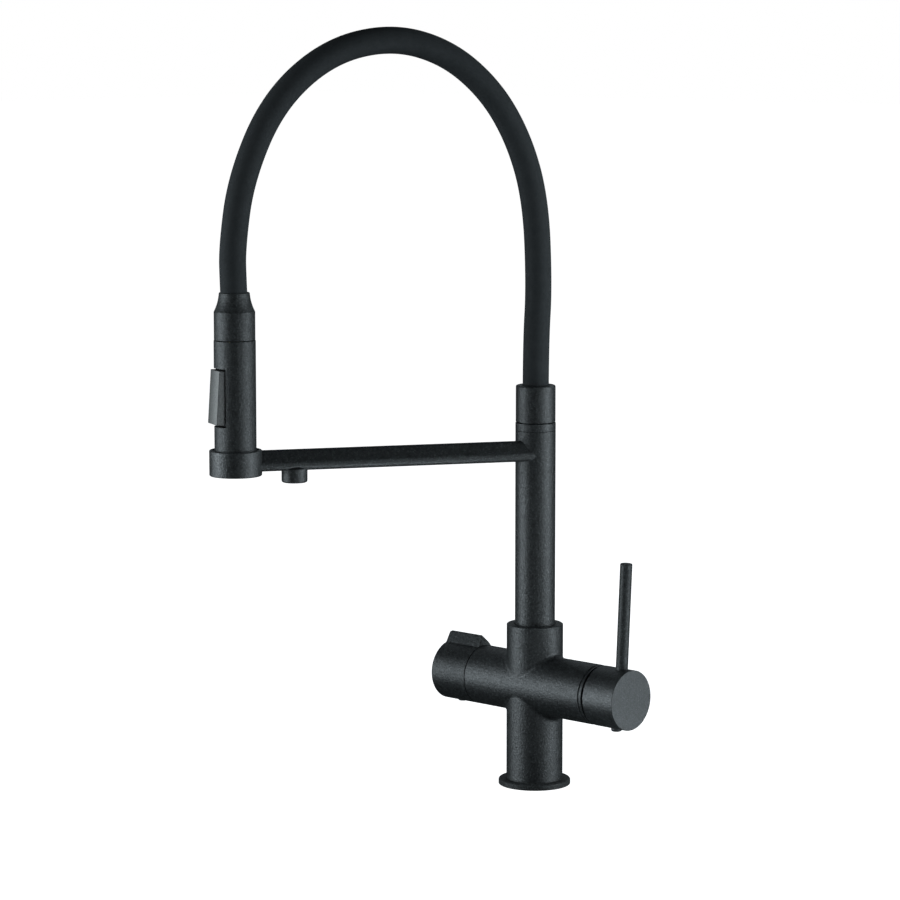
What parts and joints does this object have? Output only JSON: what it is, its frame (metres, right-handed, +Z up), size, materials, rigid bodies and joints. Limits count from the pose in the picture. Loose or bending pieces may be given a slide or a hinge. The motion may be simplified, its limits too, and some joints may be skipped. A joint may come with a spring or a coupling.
{
  "type": "pull-down kitchen faucet",
  "caption": "Deck-mounted kitchen faucet: column with side mixer lever and filter knob, riser, arching black hose, spray head docked in a ring on an arm that also has a filtered-water outlet.",
  "frame": {"origin": "centre of the column on the plane of the deck, where the base flange rests", "axes": "+Z up along the riser, +X toward the mixer lever's end of the cross body, -Y toward the user; the spout at rest points 29.4 degrees from -Y toward -X"},
  "size_m": [0.2113, 0.2303, 0.5287],
  "materials": {
    "granite_coat": "matte charcoal powder coat with fine pale speckle",
    "hose_silicone": "smooth matte black silicone",
    "inner_hose": "plain",
    "black_plastic": "matte",
    "rocker_plastic": "satin dark gray",
    "nozzle_silicone": "soft silicone",
    "seal_rubber": "plain",
    "tube_plastic": "plain",
    "brass": "machined",
    "steel": "machined",
    "ceramic": "lapped"
  },
  "bodies": {
    "faucet_body": {"base_flange": "granite_coat", "base_gasket": "seal_rubber", "valve_body": "granite_coat", "swivel_washer": "black_plastic", "spout_retaining_screw": "steel", "cartridge_seals": "seal_rubber", "cartridge_base": "black_plastic", "fixed_ceramic_disc": "ceramic", "cartridge_housing": "black_plastic", "cartridge_nut": "brass", "cartridge_trim_ring": "granite_coat", "filter_valve_body": "brass", "filter_fixed_disc": "ceramic", "filter_seat_seal": "seal_rubber", "filter_spindle_seal": "seal_rubber"},
    "spout": {"riser_tube": "granite_coat", "swivel_spigot": "brass", "swivel_o_rings": "seal_rubber", "main_water_tube": "tube_plastic", "filter_water_tube": "tube_plastic", "riser_top_adapter": "granite_coat", "hose_collar": "granite_coat", "hose_nipple": "brass", "hose_seal": "seal_rubber", "hose_base_ferrule": "steel", "water_hose": "inner_hose", "hose_sleeve": "hose_silicone", "docking_arm": "granite_coat", "dock_ring": "granite_coat", "dock_liner": "black_plastic", "filter_outlet": "granite_coat", "outlet_aerator": "black_plastic"},
    "hose_end": {"hose_nut": "granite_coat", "hose_end_connector": "brass", "hose_end_ferrule": "steel", "connector_o_ring": "seal_rubber"},
    "spray_head": {"spray_shell": "granite_coat", "spray_core": "black_plastic", "check_valve": "black_plastic", "spray_plate": "black_plastic", "nozzle_pad": "nozzle_silicone", "spray_aerator": "black_plastic", "rocker_pin": "steel"},
    "rocker": {"spray_rocker": "rocker_plastic"},
    "spool": {"diverter_spool": "black_plastic"},
    "mixer_rotor": {"cartridge_rotor": "black_plastic", "stem_pin": "steel"},
    "mixer_disc": {"disc_carrier": "black_plastic", "moving_ceramic_disc": "ceramic"},
    "mixer_handle": {"cartridge_stem": "brass", "handle_cap": "granite_coat", "handle_lever": "granite_coat", "handle_set_screw": "steel", "handle_plug": "black_plastic"},
    "filter_handle": {"filter_knob": "granite_coat", "filter_spindle": "brass", "filter_moving_disc": "ceramic", "spindle_clip": "steel", "knob_set_screw": "steel", "knob_plug": "black_plastic"}
  },
  "joints": [
    {"name": "spout_swivel", "type": "hinge", "parent": "faucet_body", "child": "spout", "pos_m": [0, 0, 0.1], "axis": [0, 0, 1], "continuous": true},
    {"name": "spray_lift", "type": "slide", "parent": "spout", "child": "hose_end", "axis": [0, 0, 1], "range_m": [0, 0.06], "deforming": ["hose_sleeve", "water_hose"]},
    {"name": "spray_swivel", "type": "hinge", "parent": "hose_end", "child": "spray_head", "pos_m": [-0.10513, -0.18657, 0.3194], "axis": [0, 0, 1], "continuous": true},
    {"name": "rocker_tilt", "type": "hinge", "parent": "spray_head", "child": "rocker", "pos_m": [-0.10771, -0.19254, 0.2807], "axis": [0.9178, -0.3971, 0], "range_deg": [0, 6]},
    {"name": "spool_slide", "type": "slide", "parent": "spray_head", "child": "spool", "axis": [0.3971, 0.9178, 0], "range_m": [0, 0.0012]},
    {"name": "mixer_temperature", "type": "hinge", "parent": "faucet_body", "child": "mixer_rotor", "pos_m": [0.044, 0, 0.0714], "axis": [1, 0, 0], "range_deg": [-45, 45]},
    {"name": "mixer_flow", "type": "hinge", "parent": "mixer_rotor", "child": "mixer_handle", "pos_m": [0.044, 0, 0.0714], "axis": [0, 1, 0], "range_deg": [0, 20]},
    {"name": "disc_slide", "type": "slide", "parent": "mixer_rotor", "child": "mixer_disc", "axis": [0, 0, 1], "range_m": [0, 0.0026]},
    {"name": "filter_turn", "type": "hinge", "parent": "faucet_body", "child": "filter_handle", "pos_m": [-0.06, 0, 0.0714], "axis": [1, 0, 0], "range_deg": [0, 90]}
  ],
  "couplings": [
    {"joint": "spool_slide", "follows": "rocker_tilt", "m_per_rad": 0.0107},
    {"joint": "disc_slide", "follows": "mixer_flow", "m_per_rad": 0.0072}
  ]
}
